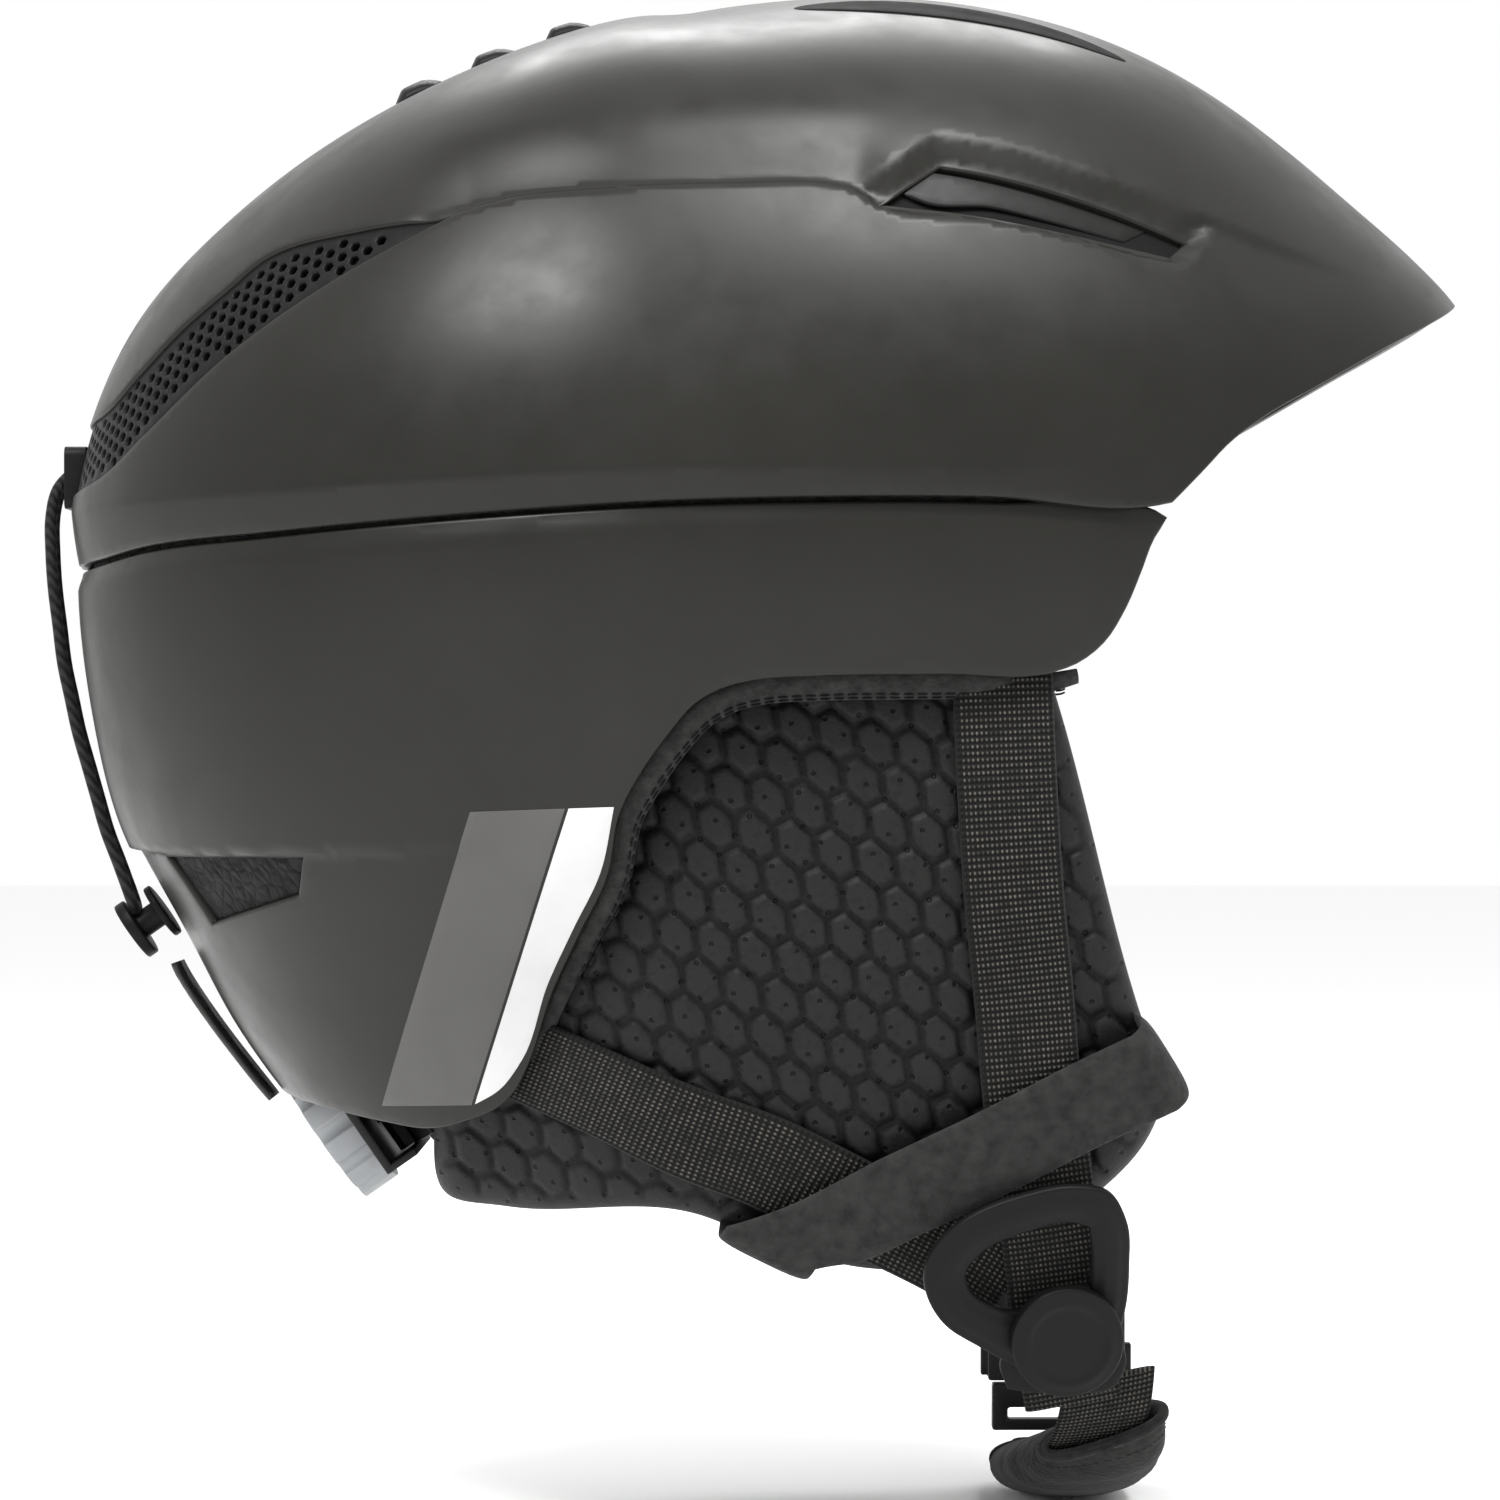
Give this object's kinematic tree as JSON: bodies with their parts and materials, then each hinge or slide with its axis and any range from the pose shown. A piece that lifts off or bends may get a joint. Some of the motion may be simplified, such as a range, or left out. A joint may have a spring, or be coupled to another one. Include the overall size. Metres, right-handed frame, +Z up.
{
  "type": "ski helmet",
  "caption": "Ski helmet with a two-piece satin hard shell, short visor, honeycomb grilles, ear pads, chin strap with buckle, goggle retainer and dial fit belt.",
  "frame": {"origin": "centre of the head cavity, in the helmet's middle plane", "axes": "+X to the visor, +Y to the wearer's left, +Z up through the crown"},
  "size_m": [0.2949, 0.2194, 0.3159],
  "materials": {
    "shell_satin": "satin",
    "trim_plastic": "matte",
    "foam": "rough",
    "decal_grey": "satin",
    "decal_white": "satin",
    "rivet_steel": "brushed",
    "elastic_cord": "woven",
    "tab_leather": "grained",
    "liner_fabric": "knitted",
    "ear_pad_fabric": "moulded",
    "webbing": "woven",
    "soft_band": "brushed",
    "dial_grey": "matte",
    "fit_plastic": "matte",
    "buckle_plastic": "satin"
  },
  "bodies": {
    "helmet": {"upper_shell": "shell_satin", "lower_shell": "shell_satin", "eps_liner": "foam", "grille_right": "trim_plastic", "grille_left": "trim_plastic", "top_vent_mesh": "trim_plastic", "top_vent_louvres": "trim_plastic", "vent_insert_right": "trim_plastic", "vent_insert_left": "trim_plastic", "decal_grey": "decal_grey", "decal_white": "decal_white", "strap_rivets": "rivet_steel", "goggle_clip": "trim_plastic", "retainer_cord": "elastic_cord", "retainer_hook": "trim_plastic", "crown_pad": "liner_fabric", "brow_pad": "liner_fabric", "side_pad_right": "liner_fabric", "side_pad_left": "liner_fabric", "ear_pad_right": "ear_pad_fabric", "ear_pad_left": "ear_pad_fabric", "ear_pad_studs": "trim_plastic", "neck_pad": "ear_pad_fabric", "front_strap_right": "webbing", "front_strap_left": "webbing", "rear_strap_right": "webbing", "rear_strap_left": "webbing", "keeper_band_right": "soft_band", "keeper_band_left": "soft_band", "divider_right": "trim_plastic", "divider_left": "trim_plastic", "divider_disc_right": "trim_plastic", "divider_disc_left": "trim_plastic", "buckle_female": "buckle_plastic", "dial_housing": "fit_plastic", "dial_cover": "fit_plastic", "cradle_yoke": "fit_plastic"},
    "dial": {"dial_wheel": "dial_grey", "dial_pinion": "fit_plastic"},
    "belt_right": {"fit_belt_right": "fit_plastic"},
    "belt_left": {"fit_belt_left": "fit_plastic"},
    "pull_tab": {"retainer_tab": "tab_leather"},
    "chin_band": {"chin_webbing": "webbing", "chin_pad": "soft_band", "buckle_male": "buckle_plastic"},
    "prong_front": {"buckle_prong_front": "buckle_plastic"},
    "prong_rear": {"buckle_prong_rear": "buckle_plastic"}
  },
  "joints": [
    {"name": "dial_turn", "type": "hinge", "parent": "helmet", "child": "dial", "pos_m": [-0.064, 0, -0.116], "axis": [0.8211, 0, 0.5707], "range_deg": [0, 140]},
    {"name": "belt_right_slide", "type": "hinge", "parent": "helmet", "child": "belt_right", "pos_m": [-0.01514, 0, -0.08204], "axis": [-0.5707, 0, 0.8211], "range_deg": [0, 10.18]},
    {"name": "belt_left_slide", "type": "hinge", "parent": "helmet", "child": "belt_left", "pos_m": [-0.01514, 0, -0.08204], "axis": [0.5707, 0, -0.8211], "range_deg": [0, 10.18]},
    {"name": "tab_lift", "type": "hinge", "parent": "helmet", "child": "pull_tab", "pos_m": [-0.1045, 0, -0.084], "axis": [0, 1, 0], "range_deg": [0, 55], "stiffness_Nm_per_rad": 0.02},
    {"name": "chin_band_swing", "type": "hinge", "parent": "helmet", "child": "chin_band", "pos_m": [0.086, -0.05, -0.172], "axis": [-1, 0, 0], "range_deg": [0, 70]},
    {"name": "prong_front_press", "type": "slide", "parent": "chin_band", "child": "prong_front", "axis": [-1, 0, 0], "range_m": [0, 0.002], "stiffness_N_per_m": 800},
    {"name": "prong_rear_press", "type": "slide", "parent": "chin_band", "child": "prong_rear", "axis": [1, 0, 0], "range_m": [0, 0.002], "stiffness_N_per_m": 800}
  ],
  "couplings": [
    {"joint": "belt_left_slide", "follows": "dial_turn", "ratio": 0.072727},
    {"joint": "belt_right_slide", "follows": "dial_turn", "ratio": 0.072727}
  ]
}
